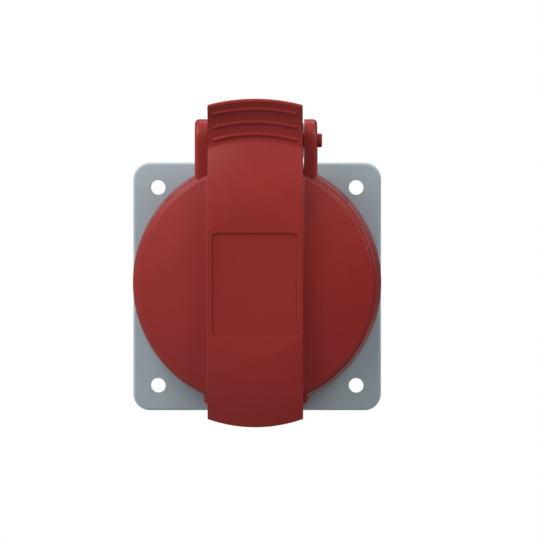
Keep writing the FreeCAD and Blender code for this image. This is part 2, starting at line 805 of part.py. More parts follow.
# Screws from behind, all with slotted cheese heads
def back_screw(radius, head_radius, head_height, head_face, length, x, y):
    """Screw that points out of the panel, its head behind head_face and its shank beyond it."""
    head = rod(head_radius, head_face - head_height, head_face, x, y)
    shank = rod(radius, head_face, head_face + length, x, y)
    low = head_face - head_height
    slot = box(x - head_radius, x + head_radius, y - slot_width / 2, y + slot_width / 2,
               low, low + slot_depth)
    return head.cut(slot).fuse(shank)


def make_collar_screws():
    length = flange_thickness - collar_screw_head_height + collar_screw_bite
    face = flange_back + collar_screw_head_height
    screws = [
        back_screw(collar_screw_radius, collar_screw_head_radius, collar_screw_head_height, face,
                   length, x, y) for x, y in spots(collar_screw_circle)]
    return Part.makeCompound(screws)


def make_carrier_screws():
    length = shoulder_thickness + carrier_screw_bite
    screws = [
        back_screw(carrier_screw_radius, carrier_screw_head_radius, carrier_screw_head_height,
                   shoulder_back, length, x, y) for x, y in spots(carrier_screw_circle)]
    return Part.makeCompound(screws)


def make_centre_screw():
    face = holder_back + centre_screw_head_height
    length = carrier_back + centre_screw_bite - face
    return back_screw(centre_screw_radius, centre_screw_head_radius, centre_screw_head_height, face,
                      length, 0, 0)


def make_all():
    os.makedirs("parts", exist_ok=True)
    save("flange_housing", make_flange_housing())
    save("flange_gasket", make_flange_gasket())
    save("front_collar", make_front_collar())
    save("hinge_pin", make_hinge_pin())
    save("lid", make_lid())
    save("lid_gasket", make_lid_gasket())
    save("lid_spring", make_lid_spring())
    save("contact_carrier", make_contact_carrier())
    save("terminal_holder", make_terminal_holder())
    save("collar_screws", make_collar_screws())
    save("carrier_screws", make_carrier_screws())
    save("centre_screw", make_centre_screw())
    for name, pin, x, y in contact_places():
        save(f"contact_{name}", make_contact(pin, x, y))
        save(f"grip_ring_{name}", make_grip_ring(pin, x, y))
        save(f"terminal_screw_{name}", make_terminal_screw(x, y))


make_all()
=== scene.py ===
import logging
import math
from dataclasses import dataclass
from enum import Enum

import bmesh
import bpy
from mathutils import Matrix, Vector


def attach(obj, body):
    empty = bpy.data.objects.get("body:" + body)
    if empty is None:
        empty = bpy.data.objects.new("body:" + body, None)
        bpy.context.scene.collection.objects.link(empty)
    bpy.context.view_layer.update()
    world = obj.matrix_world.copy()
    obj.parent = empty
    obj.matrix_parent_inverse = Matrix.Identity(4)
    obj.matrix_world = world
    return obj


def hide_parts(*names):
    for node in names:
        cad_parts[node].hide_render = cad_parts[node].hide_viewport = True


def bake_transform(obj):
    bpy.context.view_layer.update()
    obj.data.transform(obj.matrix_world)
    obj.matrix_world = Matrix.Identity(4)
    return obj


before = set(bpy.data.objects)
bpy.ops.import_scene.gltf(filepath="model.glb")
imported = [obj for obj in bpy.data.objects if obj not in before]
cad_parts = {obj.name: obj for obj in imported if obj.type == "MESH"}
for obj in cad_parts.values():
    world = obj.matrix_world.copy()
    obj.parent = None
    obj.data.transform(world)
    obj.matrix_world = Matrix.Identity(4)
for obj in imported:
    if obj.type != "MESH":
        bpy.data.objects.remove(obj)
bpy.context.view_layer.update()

MM = 0.001
AXIS_RISE = 1.2

# Pieces are drawn in millimetres face on: x to the right, y up, z out of the panel.
FACE_ON = Matrix((
    (MM, 0.0, 0.0, 0.0),
    (0.0, 0.0, -MM, 0.0),
    (0.0, MM, 0.0, AXIS_RISE * MM),
    (0.0, 0.0, 0.0, 1.0),
))

Colour = tuple[float, float, float]
log = logging.getLogger("panel_socket")


class Body(Enum):
    """Bodies of the frame that a piece can move with."""

    ROOT = "root"
    LID = "lid"


class Slot(Enum):
    """Material slots that the record names."""

    GREY = "grey_housing"
    RED = "red_plastic"
    RUBBER = "seal_rubber"
    INSULATOR = "insulator"
    BRASS = "contact_brass"
    SPRING = "spring_steel"
    SCREW = "screw_steel"


class Contact(Enum):
    """Contacts round the socket's axis, clockwise from the keyway."""

    EARTH = "earth"
    LINE_1 = "line_1"
    LINE_2 = "line_2"
    LINE_3 = "line_3"
    NEUTRAL = "neutral"


class Socket:
    """Output of a node, on which the usual operators add Math nodes."""

    def __init__(self, graph: "Graph", pin: bpy.types.NodeSocket | None) -> None:
        """Keep the graph and the output that carries the value."""
        self.graph = graph
        self.pin = pin

    def other(self, name: str) -> "Socket":
        """Another output of the same node."""
        return Socket(self.graph, self.pin.node.outputs[name])

    def __add__(self, value: "Socket | float") -> "Socket":
        """Sum."""
        return self.graph.maths("ADD", self, value)

    def __radd__(self, value: float) -> "Socket":
        """Sum with a number in front."""
        return self.graph.maths("ADD", value, self)

    def __sub__(self, value: "Socket | float") -> "Socket":
        """Difference."""
        return self.graph.maths("SUBTRACT", self, value)

    def __rsub__(self, value: float) -> "Socket":
        """Difference from a number."""
        return self.graph.maths("SUBTRACT", value, self)

    def __mul__(self, value: "Socket | float") -> "Socket":
        """Product."""
        return self.graph.maths("MULTIPLY", self, value)

    def __rmul__(self, value: float) -> "Socket":
        """Product with a number in front."""
        return self.graph.maths("MULTIPLY", value, self)

    def __truediv__(self, value: "Socket | float") -> "Socket":
        """Quotient."""
        return self.graph.maths("DIVIDE", self, value)

    def __rtruediv__(self, value: float) -> "Socket":
        """Quotient with a number on top."""
        return self.graph.maths("DIVIDE", value, self)

    def limited(self) -> "Socket":
        """The value held between 0 and 1."""
        return self.graph.node("ShaderNodeClamp", {}, {"Value": self})


class Graph:
    """Node tree that is written as expressions."""

    # Places of sockets that share their name with others of the same node.
    MIX_FIRST, MIX_SECOND, MIX_RESULT = 6, 7, 2
    RANDOM_MIN, RANDOM_MAX, RANDOM_RESULT = 2, 3, 1

    BEVEL_SAMPLES = 6
    EDGE_GAIN = 5.0

    def __init__(self, tree: bpy.types.NodeTree) -> None:
        """Take an empty tree, or empty it."""
        self.tree = tree
        tree.nodes.clear()

    def node(
        self,
        kind: str,
        settings: dict[str, object] | None = None,
        inputs: dict[str | int, object] | None = None,
        output: str | int = 0,
    ) -> Socket:
        """Add a node of any type.

        Args:
            kind: The node's type.
            settings: Its properties, such as a Math node's operation. They are set first.
            inputs: Numbers, tuples, materials or sockets, by the name or place of the input.
            output: The name or place of the output that is wanted.

        Returns:
            That output, or an empty socket for a node that has none.
        """
        made = self.tree.nodes.new(kind)
        for name, value in (settings or {}).items():
            setattr(made, name, value)
        for key, value in (inputs or {}).items():
            if isinstance(value, Socket):
                self.tree.links.new(value.pin, made.inputs[key])
            else:
                made.inputs[key].default_value = value
        return Socket(self, made.outputs[output] if len(made.outputs) else None)

    def maths(self, operation: str, first: Socket | float, second: Socket | float = 0.0) -> Socket:
        """Add a Math node.

        Args:
            operation: Blender's name of the operation.
            first: The first value.
            second: The second value, if the operation takes one.

        Returns:
            The result.
        """
        return self.node("ShaderNodeMath", {"operation": operation}, {0: first, 1: second})

    def mixed(
        self, share: Socket | float, first: Socket | Colour, second: Socket | Colour,
    ) -> Socket:
        """Blend two colours.

        Args:
            share: 0 for the first colour, 1 for the second.
            first: A colour.
            second: Another colour.

        Returns:
            The colour between them.
        """
        start, end = (c if isinstance(c, Socket) else (*c, 1.0) for c in (first, second))
        inputs = {0: share, self.MIX_FIRST: start, self.MIX_SECOND: end}
        return self.node("ShaderNodeMix", {"data_type": "RGBA"}, inputs, self.MIX_RESULT)

    def place(self) -> Socket:
        """Place in the object's own coordinates, in metres."""
        return self.node("ShaderNodeTexCoord", output="Object")

    def cells(self, where: Socket, size: float) -> Socket:
        """Distance to the nearest of scattered points, about a size in millimetres apart."""
        return self.node("ShaderNodeTexVoronoi", {"feature": "F1"}, {
            "Vector": where, "Scale": 1.0 / (size * MM)}, "Distance")

    def noise(self, where: Socket, size: float, detail: float = 2.0, rough: float = 0.5) -> Socket:
        """Even noise from 0 to 1.

        Args:
            where: Coordinates in metres.
            size: Width of its features in millimetres.
            detail: How many finer layers it has.
            rough: How strong the finer layers are.

        Returns:
            The noise.
        """
        return self.node("ShaderNodeTexNoise", {}, {
            "Vector": where, "Scale": 1.0 / (size * MM), "Detail": detail, "Roughness": rough})

    def stretched(self, where: Socket, scale: tuple[float, float, float]) -> Socket:
        """Coordinates scaled along each axis."""
        return self.node("ShaderNodeMapping", {}, {"Vector": where, "Scale": scale})

    def rounded(self, radius: float) -> Socket:
        """Normal that rounds every sharp edge to a radius in millimetres."""
        return self.node(
            "ShaderNodeBevel", {"samples": self.BEVEL_SAMPLES}, {"Radius": radius * MM})

    def edges(self, rounded: Socket) -> Socket:
        """Mask of the rounded edges.

        Args:
            rounded: A rounded normal.

        Returns:
            1 on an edge and 0 on flat ground.
        """
        plain = self.node("ShaderNodeNewGeometry", output="Normal")
        match = self.node(
            "ShaderNodeVectorMath", {"operation": "DOT_PRODUCT"}, {0: rounded, 1: plain}, "Value")
        return ((1.0 - match) * self.EDGE_GAIN).limited()

    def bumped(self, height: Socket, depth: float, normal: Socket | None = None) -> Socket:
        """Normal with a relief on it.

        Args:
            height: The relief, from 0 to 1.
            depth: Its depth in millimetres.
            normal: The normal under it, if that isn't the surface's own.

        Returns:
            The new normal.
        """
        inputs = {"Height": height, "Distance": depth * MM, "Strength": 1.0}
        if normal is not None:
            inputs["Normal"] = normal
        return self.node("ShaderNodeBump", {}, inputs)


@dataclass(frozen=True)
class Surface:
    """What a finish gives the shader: what varies, and what is the same all over."""

    colour: Socket
    roughness: Socket
    normal: Socket
    metallic: float = 0.0
    specular: float = 0.5


def shade(colour: Colour, factor: float) -> Colour:
    """A colour made darker or lighter by a factor."""
    return tuple(min(level * factor, 1.0) for level in colour)


@dataclass(frozen=True)
class Finish:
    """Finish of a surface, which can make its own material. Its sizes are in millimetres."""

    name: str
    slot: Slot
    colour: Colour

    def surface(self, graph: Graph) -> Surface:
        """Draw the finish.

        Args:
            graph: The material's node tree.

        Returns:
            What the shader takes.
        """
        raise NotImplementedError

    def material(self) -> bpy.types.Material:
        """Make the finish into a material, or find the one made before.

        Returns:
            The material.
        """
        known = bpy.data.materials.get(self.name)
        if known is not None:
            return known
        made = bpy.data.materials.new(self.name)
        made.use_nodes = True
        graph = Graph(made.node_tree)
        look = self.surface(graph)
        shader = graph.node("ShaderNodeBsdfPrincipled", {}, {
            "Base Color": look.colour,
            "Roughness": look.roughness,
            "Normal": look.normal,
            "Metallic": look.metallic,
            "Specular IOR Level": look.specular,
        })
        graph.node("ShaderNodeOutputMaterial", {}, {"Surface": shader})
        made.diffuse_color = (*self.colour, 1.0)
        return made


@dataclass(frozen=True)
class MouldedPlastic(Finish):
    """Satin moulding with soft edges, a fine grain and slow shifts of tone."""

    roughness: float = 0.4
    specular: float = 0.5
    edge_radius: float = 0.4
    grain_size: float = 0.32
    grain_depth: float = 0.0035
    waviness: float = 0.006
    variation: float = 0.05
    # How strongly the edges are lightened, as rubbed wear and as a painted edge highlight.
    edge_wear_and_highlight: float = 0.25
    fleck: float = 0.0
    flow_size: float = 19.0
    cloud_size: float = 2.6
    wave_size: float = 3.8
    contrast: float = 2.2
    edge_light_gain: float = 1.3
    edge_light_lift: float = 0.03
    fleck_size: float = 0.55
    fleck_reach: float = 0.16
    fleck_gain: float = 14.0
    fleck_light: float = 3.2

    def surface(self, graph: Graph) -> Surface:
        """Draw flow marks, grain, edges lightened partly as rubbed wear and partly as a painted
        highlight, and flecks of filler.

        Args:
            graph: The material's node tree.

        Returns:
            What the shader takes.
        """
        where = graph.place()
        flow = graph.noise(where, self.flow_size, 3.0)
        cloud = graph.noise(where, self.cloud_size, 3.0, 0.6)
        grain = graph.noise(where, self.grain_size, 2.0, 0.55)
        rounded = graph.rounded(self.edge_radius)
        edge = graph.edges(rounded)
        tone = (flow * 0.7 + cloud * 0.3 - 0.5) * self.contrast + 0.5
        deep = shade(self.colour, 1.0 - self.variation)
        pale = shade(self.colour, 1.0 + self.variation)
        colour = graph.mixed(tone.limited(), deep, pale)
        # Edges get a lighter colour: partly rubbed wear, partly a painted highlight standing in
        # for light caught on the rounded edges.
        worn_and_highlit = tuple(level * self.edge_light_gain + self.edge_light_lift for level in self.colour)
        lit_rubbed_share = (edge * (cloud * 1.6 - 0.35) * self.edge_wear_and_highlight).limited()
        colour = graph.mixed(lit_rubbed_share, colour, worn_and_highlit)
        if self.fleck > 0:
            near = self.fleck_reach - graph.cells(where, self.fleck_size)
            spots = (near * self.fleck_gain).limited() * self.fleck
            colour = graph.mixed(spots, colour, shade(self.colour, self.fleck_light))
        roughness = cloud * 0.1 + grain * 0.06 + edge * 0.04 + (self.roughness - 0.08)
        waves = graph.bumped(graph.noise(where, self.wave_size, 1.0), self.waviness, rounded)
        normal = graph.bumped(grain, self.grain_depth, waves)
        return Surface(colour, roughness, normal, 0.0, self.specular)


@dataclass(frozen=True)
class Elastomer(Finish):
    """Matt rubber with a pale bloom and a faint skin."""

    roughness: float = 0.72
    specular: float = 0.4
    bloom: float = 0.22
    dust: Colour = (0.16, 0.155, 0.15)
    cloud_size: float = 5.0
    skin_size: float = 0.45
    skin_depth: float = 0.012
    edge_radius: float = 0.25

    def surface(self, graph: Graph) -> Surface:
        """Draw the bloom, the skin and the soft edges.

        Args:
            graph: The material's node tree.

        Returns:
            What the shader takes.
        """
        where = graph.place()
        cloud = graph.noise(where, self.cloud_size, 4.0, 0.65)
        skin = graph.noise(where, self.skin_size, 3.0, 0.6)
        rounded = graph.rounded(self.edge_radius)
        dusty = ((cloud - 0.42) * 2.6).limited() * self.bloom + graph.edges(rounded) * 0.12
        colour = graph.mixed(dusty.limited(), self.colour, self.dust)
        roughness = cloud * 0.12 + skin * 0.08 + (self.roughness - 0.1)
        normal = graph.bumped(skin, self.skin_depth, rounded)
        return Surface(colour, roughness, normal, 0.0, self.specular)


@dataclass(frozen=True)
class TurnedMetal(Finish):
    """Metal turned on a lathe, with rings round the contact's axis and a light tarnish."""

    tarnish: Colour = (0.32, 0.19, 0.09)
    tarnished: float = 0.55
    roughness: float = 0.26
    ring_size: float = 0.11
    ring_depth: float = 0.004
    across: float = 0.04
    cloud_size: float = 2.2
    edge_radius: float = 0.08

    def surface(self, graph: Graph) -> Surface:
        """Draw the tool's rings and the tarnish.

        Args:
            graph: The material's node tree.

        Returns:
            What the shader takes.
        """
        where = graph.place()
        along_axis = graph.stretched(where, (self.across, 1.0, self.across))
        rings = graph.noise(along_axis, self.ring_size, 3.0, 0.7)
        cloud = graph.noise(where, self.cloud_size, 4.0, 0.62)
        aged = ((cloud - 0.46) * 2.4).limited() * self.tarnished
        bright = graph.mixed(rings, shade(self.colour, 0.88), shade(self.colour, 1.08))
        colour = graph.mixed(aged, bright, self.tarnish)
        roughness = rings * 0.14 + aged * 0.25 + (self.roughness - 0.06)
        normal = graph.bumped(rings, self.ring_depth, graph.rounded(self.edge_radius))
        return Surface(colour, roughness, normal, metallic=1.0)


@dataclass(frozen=True)
class PlatedSteel(Finish):
    """Bright zinc plate with a spangle and dull spots."""

    roughness: float = 0.3
    dull: Colour = (0.34, 0.34, 0.36)
    dulled: float = 0.6
    spangle_size: float = 0.42
    cloud_size: float = 1.1
    cloud_depth: float = 0.003
    edge_radius: float = 0.07

    def surface(self, graph: Graph) -> Surface:
        """Draw the spangle and the dull spots.

        Args:
            graph: The material's node tree.

        Returns:
            What the shader takes.
        """
        where = graph.place()
        spangle = graph.cells(where, self.spangle_size)
        cloud = graph.noise(where, self.cloud_size, 4.0, 0.6)
        rounded = graph.rounded(self.edge_radius)
        spots = ((cloud - 0.5) * 3.0).limited() * self.dulled
        plate = graph.mixed(
            (spangle * 1.1).limited(), shade(self.colour, 1.08), shade(self.colour, 0.86))
        colour = graph.mixed(spots, plate, self.dull)
        roughness = spots * 0.22 + spangle * 0.08 + (self.roughness - 0.04)
        normal = graph.bumped(cloud, self.cloud_depth, rounded)
        return Surface(colour, roughness, normal, metallic=1.0)


@dataclass(frozen=True)
class DrawnWire(Finish):
    """Drawn steel wire, with die lines that run along it and a light heat tint."""

    roughness: float = 0.24
    tint: Colour = (0.36, 0.31, 0.25)
    tinted: float = 0.4
    tint_size: float = 4.0
    line_depth: float = 0.006
    line_scale: float = 4.0
    lines_along: float = 0.05
    lines_around: float = 9.0

    def surface(self, graph: Graph) -> Surface:
        """Draw the die lines from the wire's own measures along and around it.

        Args:
            graph: The material's node tree.

        Returns:
            What the shader takes.
        """
        along = graph.node("ShaderNodeAttribute", {"attribute_name": "along"}, {}, "Fac")
        around = graph.node("ShaderNodeAttribute", {"attribute_name": "around"}, {}, "Fac")
        where = graph.node("ShaderNodeCombineXYZ", {}, {
            "X": along * self.lines_along, "Y": around * self.lines_around})
        lines = graph.node("ShaderNodeTexNoise", {}, {
            "Vector": where, "Scale": self.line_scale, "Detail": 3.0, "Roughness": 0.7})
        heat = graph.noise(graph.place(), self.tint_size, 3.0)
        colour = graph.mixed(lines, shade(self.colour, 0.78), shade(self.colour, 1.15))
        blued = ((heat - 0.5) * 2.0).limited() * self.tinted
        colour = graph.mixed(blued, colour, self.tint)
        roughness = lines * 0.16 + heat * 0.08 + (self.roughness - 0.08)
        return Surface(colour, roughness, graph.bumped(lines, self.line_depth), metallic=1.0)


@dataclass(frozen=True)
class Palette:
    """Every finish of the socket."""

    grey: Finish = MouldedPlastic(
        "grey_moulding", Slot.GREY, (0.366, 0.462, 0.506), roughness=0.46, specular=0.4,
        edge_radius=0.2, variation=0.035, grain_depth=0.004, edge_wear_and_highlight=0.3)
    # The red's edges are lightened strongly: a painted highlight along rims and ribs, with some
    # rubbed wear.
    red: Finish = MouldedPlastic(
        "red_moulding", Slot.RED, (0.268, 0.017, 0.015), roughness=0.36, specular=0.28,
        edge_radius=0.22, variation=0.05, edge_wear_and_highlight=0.9)
    insulator: Finish = MouldedPlastic(
        "black_insulator", Slot.INSULATOR, (0.042, 0.043, 0.047), roughness=0.5,
        edge_radius=0.3, variation=0.12, grain_depth=0.005, edge_wear_and_highlight=0.35, fleck=0.28)
    rubber: Finish = Elastomer("seal_rubber_skin", Slot.RUBBER, (0.026, 0.026, 0.028))
    brass: Finish = TurnedMetal("turned_brass", Slot.BRASS, (0.72, 0.52, 0.24))
    ring_steel: Finish = PlatedSteel("ring_steel", Slot.SPRING, (0.55, 0.56, 0.58), roughness=0.26)
    wire: Finish = DrawnWire("spring_wire", Slot.SPRING, (0.56, 0.56, 0.57))
    zinc: Finish = PlatedSteel("zinc_plate", Slot.SCREW, (0.62, 0.63, 0.65))


PALETTE = Palette()


def dress(node: str, finish: Finish) -> None:
    """Give a frame node its finish.

    Args:
        node: The node's name.
        finish: Its finish.
    """
    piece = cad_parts[node]
    for place in piece.material_slots:
        place.material = finish.material()
    if not piece.material_slots:
        piece.data.materials.append(finish.material())
    log.info("dressed %s in %s", node, finish.name)


def seat(
    name: str, mesh: bpy.types.Mesh, finish: Finish, nodes: tuple[str, ...],
) -> bpy.types.Object:
    """Put a finished mesh, drawn face on in millimetres, in the place of some nodes.

    Args:
        name: The piece's name.
        mesh: Its mesh.
        finish: Its finish.
        nodes: The frame nodes that it stands for.

    Returns:
        The piece, at the origin, which rides on no body yet.
    """
    mesh.transform(FACE_ON)
    mesh.materials.clear()
    mesh.materials.append(finish.material())
    piece = bpy.data.objects.new(name, mesh)
    bpy.context.scene.collection.objects.link(piece)
    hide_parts(*nodes)
    log.info("built %s with %d faces", name, len(mesh.polygons))
    return piece


def meshed(name: str, shape: bmesh.types.BMesh, smooth: float = 35.0) -> bpy.types.Mesh:
    """Turn a drawn shape into a mesh with closed seams and outward faces.

    Args:
        name: The mesh's name.
        shape: The shape, which is freed.
        smooth: Edges below this angle in degrees are smooth.

    Returns:
        The mesh.
    """
    bmesh.ops.remove_doubles(shape, verts=shape.verts, dist=1e-5)
    bmesh.ops.recalc_face_normals(shape, faces=shape.faces)
    for face in shape.faces:
        face.smooth = True
    limit = math.radians(smooth)
    for edge in shape.edges:
        edge.smooth = len(edge.link_faces) == 2 and edge.calc_face_angle(0.0) < limit
    mesh = bpy.data.meshes.new(name)
    shape.to_mesh(mesh)
    shape.free()
    return mesh


def turned(profile: list[tuple[float, float]], steps: int = 96) -> bmesh.types.BMesh:
    """Turn a closed outline round the z axis.

    Args:
        profile: Radius and height of each point of the outline.
        steps: Number of steps round the axis.

    Returns:
        The ring.
    """
    shape = bmesh.new()
    rows = []
    for step in range(steps):
        angle = 2 * math.pi * step / steps
        rows.append([
            shape.verts.new((r * math.cos(angle), r * math.sin(angle), z)) for r, z in profile])
    for step in range(steps):
        here, there = rows[step], rows[(step + 1) % steps]
        for i in range(len(profile)):
            j = (i + 1) % len(profile)
            shape.faces.new((here[i], there[i], there[j], here[j]))
    return shape


def rounded_outline(
    low: tuple[float, float], high: tuple[float, float], radius: float, steps: int = 5,
) -> list[tuple[float, float]]:
    """Outline of a rectangle with round corners.

    Args:
        low: Its lowest corner.
        high: Its highest corner.
        radius: Radius of the corners.
        steps: Steps in each corner.

    Returns:
        Its points, anticlockwise.
    """
    corners = (
        (high[0] - radius, high[1] - radius, 0.0),
        (low[0] + radius, high[1] - radius, 90.0),
        (low[0] + radius, low[1] + radius, 180.0),
        (high[0] - radius, low[1] + radius, 270.0),
    )
    points = []
    for x, y, start in corners:
        for step in range(steps + 1):
            angle = math.radians(start + 90.0 * step / steps)
            points.append((x + radius * math.cos(angle), y + radius * math.sin(angle)))
    return points


def add_outline(curve: bpy.types.Curve, points: list[tuple[float, float]]) -> None:
    """Add a closed outline to a flat curve.

    Args:
        curve: The flat curve.
        points: The outline.
    """
    line = curve.splines.new("POLY")
    line.points.add(len(points) - 1)
    for spot, (x, y) in zip(line.points, points):
        spot.co = (x, y, 0.0, 1.0)
    line.use_cyclic_u = True


class Pattern:
    """Geometry Nodes tree with named inputs, which turns one mesh into another."""

    KINDS = {
        int: "NodeSocketInt", float: "NodeSocketFloat", bpy.types.Material: "NodeSocketMaterial"}

    def __init__(self, name: str, sizes: dict[str, int | float]) -> None:
        """Open the tree.

        Args:
            name: The tree's name.
            sizes: Name and usual value of each input.
        """
        self.tree = bpy.data.node_groups.new(name, "GeometryNodeTree")
        self.graph = Graph(self.tree)
        interface = self.tree.interface
        interface.new_socket("Geometry", in_out="INPUT", socket_type="NodeSocketGeometry")
        self.inputs: dict[str, str] = {}
        for label, value in sizes.items():
            pin = interface.new_socket(label, in_out="INPUT", socket_type=self.KINDS[type(value)])
            pin.default_value = value
            self.inputs[label] = pin.identifier
        finish = interface.new_socket("Finish", in_out="INPUT", socket_type="NodeSocketMaterial")
        self.inputs["Finish"] = finish.identifier
        interface.new_socket("Geometry", in_out="OUTPUT", socket_type="NodeSocketGeometry")
        self.start = self.graph.node("NodeGroupInput", output="Geometry")

    def size(self, label: str) -> Socket:
        """One of the named inputs."""
        return self.start.other(label)

    def close(self, geometry: Socket) -> None:
        """End the tree in plain faces with their finish.

        Args:
            geometry: What the tree has made.
        """
        plain = self.graph.node("GeometryNodeRealizeInstances", {}, {"Geometry": geometry})
        dressed = self.graph.node(
            "GeometryNodeSetMaterial", {}, {"Geometry": plain, "Material": self.size("Finish")})
        self.graph.node("NodeGroupOutput", {}, {"Geometry": dressed})

    def make(
        self, name: str, mesh: bpy.types.Mesh, finish: Finish, sizes: dict[str, int | float],
    ) -> bpy.types.Mesh:
        """Run the tree on a mesh.

        Args:
            name: Name of the result.
            mesh: The mesh that the tree starts from.
            finish: Finish of the result.
            sizes: Values of the named inputs.

        Returns:
            A plain mesh.
        """
        carrier = bpy.data.objects.new(f"{name}_start", mesh)
        bpy.context.scene.collection.objects.link(carrier)
        modifier = carrier.modifiers.new(self.tree.name, "NODES")
        modifier.node_group = self.tree
        for label, value in {**sizes, "Finish": finish.material()}.items():
            modifier[self.inputs[label]] = value
        view = bpy.context.evaluated_depsgraph_get()
        view.update()
        result = bpy.data.meshes.new_from_object(carrier.evaluated_get(view), depsgraph=view)
        result.name = name
        carrier.modifiers.remove(modifier)
        bpy.data.objects.remove(carrier)
        bpy.data.meshes.remove(mesh)
        return result


def ring_pattern() -> Pattern:
    """Tree that sets copies of a mesh on a circle, each turned at random on its own axis.

    Returns:
        The tree, with the inputs Count, Circle, Start and Seed.
    """
    pattern = Pattern("set_on_circle", {"Count": 4, "Circle": 30.0, "Start": 0.0, "Seed": 1})
    graph = pattern.graph
    count, circle = pattern.size("Count"), pattern.size("Circle")
    angle = graph.node("GeometryNodeInputIndex") / count * (2 * math.pi) + pattern.size("Start")
    spot = graph.node("ShaderNodeCombineXYZ", {}, {
        "X": circle * graph.maths("COSINE", angle), "Y": circle * graph.maths("SINE", angle)})
    points = graph.node("GeometryNodePoints", {}, {"Count": count, "Position": spot})
    spin = graph.node("FunctionNodeRandomValue", {"data_type": "FLOAT"}, {
        graph.RANDOM_MIN: 0.0, graph.RANDOM_MAX: math.pi, "Seed": pattern.size("Seed"),
    }, graph.RANDOM_RESULT)
    turn = graph.node("ShaderNodeCombineXYZ", {}, {"Z": spin})
    copies = graph.node("GeometryNodeInstanceOnPoints", {}, {
        "Points": points, "Instance": pattern.start, "Rotation": turn})
    pattern.close(copies)
    return pattern


def wire_pattern() -> Pattern:
    """Tree that sweeps a round wire along the edges of a mesh.

    Returns:
        The tree, with the inputs Radius and Sides. It measures the wire along and around.
    """
    pattern = Pattern("sweep_wire", {"Radius": 0.5, "Sides": 16})
    graph = pattern.graph
    measure = {"data_type": "FLOAT", "domain": "POINT"}
    line = graph.node("GeometryNodeMeshToCurve", {}, {"Mesh": pattern.start})
    length = graph.node("GeometryNodeSplineParameter", output="Length")
    line = graph.node("GeometryNodeStoreNamedAttribute", measure, {
        "Geometry": line, "Name": "along", "Value": length})
    section = graph.node("GeometryNodeCurvePrimitiveCircle", {}, {
        "Resolution": pattern.size("Sides"), "Radius": pattern.size("Radius")})
    share = graph.node("GeometryNodeSplineParameter", output="Factor")
    section = graph.node("GeometryNodeStoreNamedAttribute", measure, {
        "Geometry": section, "Name": "around", "Value": share})
    wire = graph.node("GeometryNodeCurveToMesh", {}, {
        "Curve": line, "Profile Curve": section, "Fill Caps": True})
    wire = graph.node("GeometryNodeSetShadeSmooth", {}, {"Geometry": wire})
    pattern.close(wire)
    return pattern


